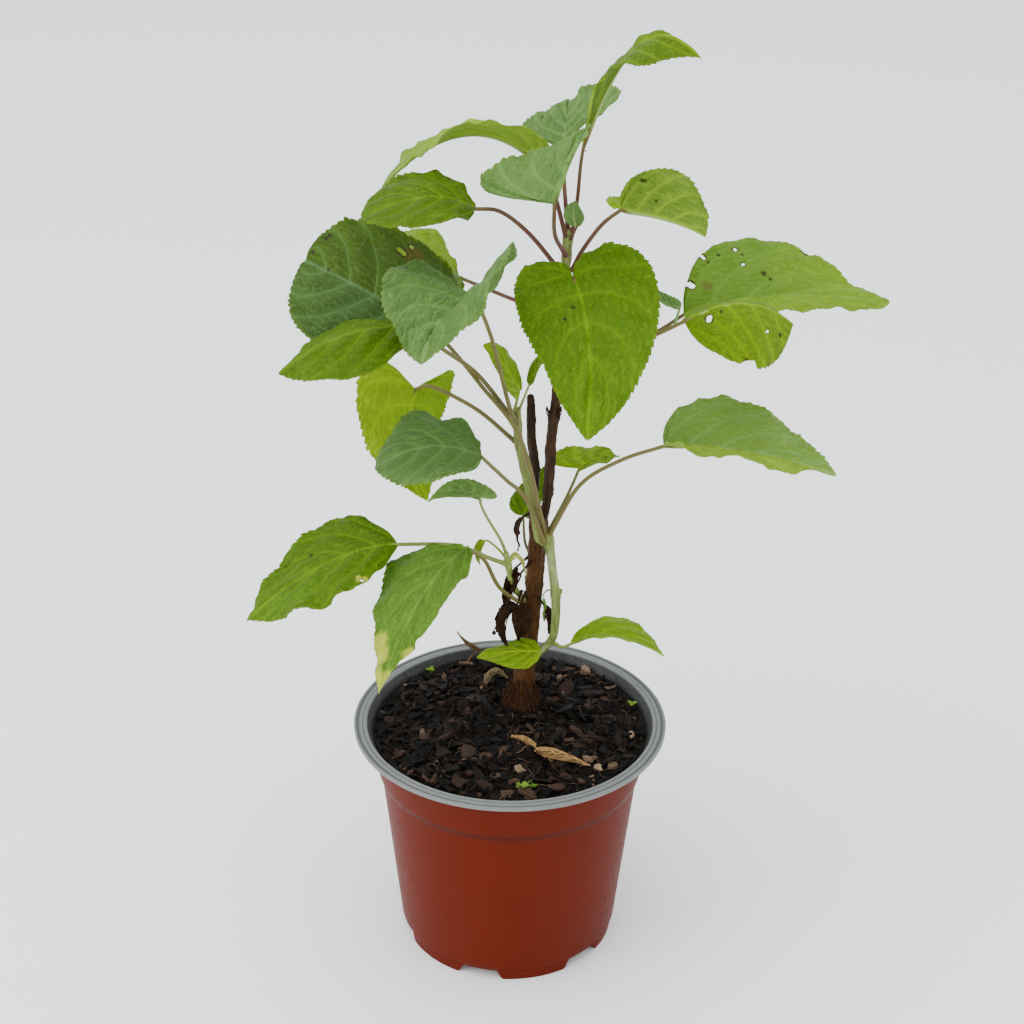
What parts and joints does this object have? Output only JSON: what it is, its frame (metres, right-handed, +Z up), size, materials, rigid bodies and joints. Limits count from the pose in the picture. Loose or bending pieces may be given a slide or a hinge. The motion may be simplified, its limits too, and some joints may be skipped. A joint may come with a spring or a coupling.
{
  "type": "potted hydrangea shrub",
  "caption": "Young smooth-leaved hydrangea with a woody trunk, slender stems and broad toothed leaves, in a round plastic nursery pot.",
  "frame": {"origin": "centre of the pot's flat underside, on the ground", "axes": "+Z up along the pot's axis, +Y towards the back of the plant, +X to its right as seen from the front"},
  "size_m": [0.3263, 0.1886, 0.5082],
  "materials": {
    "pot_plastic": "satin",
    "potting_mix": "rough",
    "bark": "rough",
    "dead_wood": "rough",
    "green_shoot": "satin",
    "leaf_young_green": "matte",
    "leaf_deep_green": "matte",
    "leaf_grey_green": "matte"
  },
  "bodies": {
    "root": {"pot": "pot_plastic", "potting_mix": "potting_mix", "trunk": "bark", "dead_stub": "dead_wood", "old_cane": "dead_wood", "top_shoot": "green_shoot", "right_shoot": "green_shoot", "centre_shoot": "green_shoot", "low_shoot": "green_shoot", "leaf_top": "leaf_young_green", "leaf_top_rear": "leaf_grey_green", "leaf_pale_front": "leaf_grey_green", "leaf_upper_left": "leaf_young_green", "leaf_folded_left": "leaf_young_green", "leaf_upper_right": "leaf_young_green", "leaf_bud": "leaf_grey_green", "leaf_broad_left": "leaf_deep_green", "leaf_back_left": "leaf_young_green", "leaf_low_pointed": "leaf_young_green", "leaf_grey_front": "leaf_grey_green", "leaf_back_heart": "leaf_young_green", "leaf_oval_front": "leaf_deep_green", "leaf_small_left": "leaf_grey_green", "leaf_long_left": "leaf_young_green", "leaf_low_front": "leaf_young_green", "leaf_heart_front": "leaf_young_green", "leaf_behind_left": "leaf_young_green", "leaf_behind_right": "leaf_young_green", "leaf_young_left": "leaf_young_green", "leaf_young_right": "leaf_young_green", "leaf_rear": "leaf_young_green", "leaf_big_right": "leaf_grey_green", "leaf_ragged_right": "leaf_young_green", "leaf_drooping_right": "leaf_grey_green", "leaf_foot_front": "leaf_young_green", "leaf_foot_right": "leaf_young_green"}
  },
  "joints": []
}
